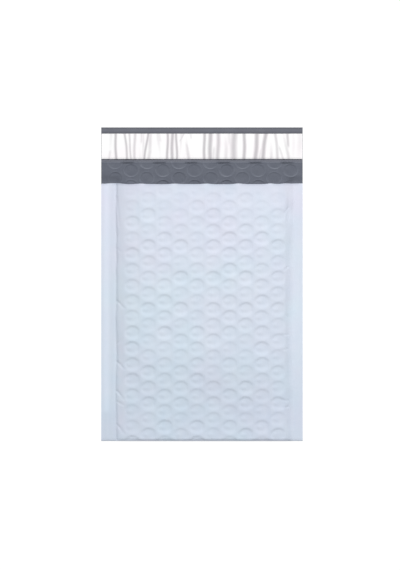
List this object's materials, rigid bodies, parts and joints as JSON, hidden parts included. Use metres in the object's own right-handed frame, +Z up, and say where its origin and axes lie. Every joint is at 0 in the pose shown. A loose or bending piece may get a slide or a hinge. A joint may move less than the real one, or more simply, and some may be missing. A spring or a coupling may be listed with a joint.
{
  "type": "padded envelope",
  "caption": "Empty padded poly mailer lying flat: film pouch with a bubble liner, side seals, and an open flap with an adhesive strip under its release liner.",
  "frame": {"origin": "middle of the outline, on the surface that the mailer lies on", "axes": "+X across the mailer towards its right seal, +Y from the bottom fold towards the flap's free end, +Z up out of the front wall"},
  "size_m": [0.31, 0.4826, 0.0159],
  "materials": {
    "white_film": "satin white film, grey on its inner face",
    "grey_bubble_film": "satin grey bubble film",
    "hot_melt": "tacky, pale yellow",
    "release_paper": "glossy silicone-coated white paper"
  },
  "bodies": {
    "root": {"outer_shell": "white_film", "bubble_liner": "grey_bubble_film", "adhesive_strip": "hot_melt", "release_liner": "release_paper"}
  },
  "joints": []
}
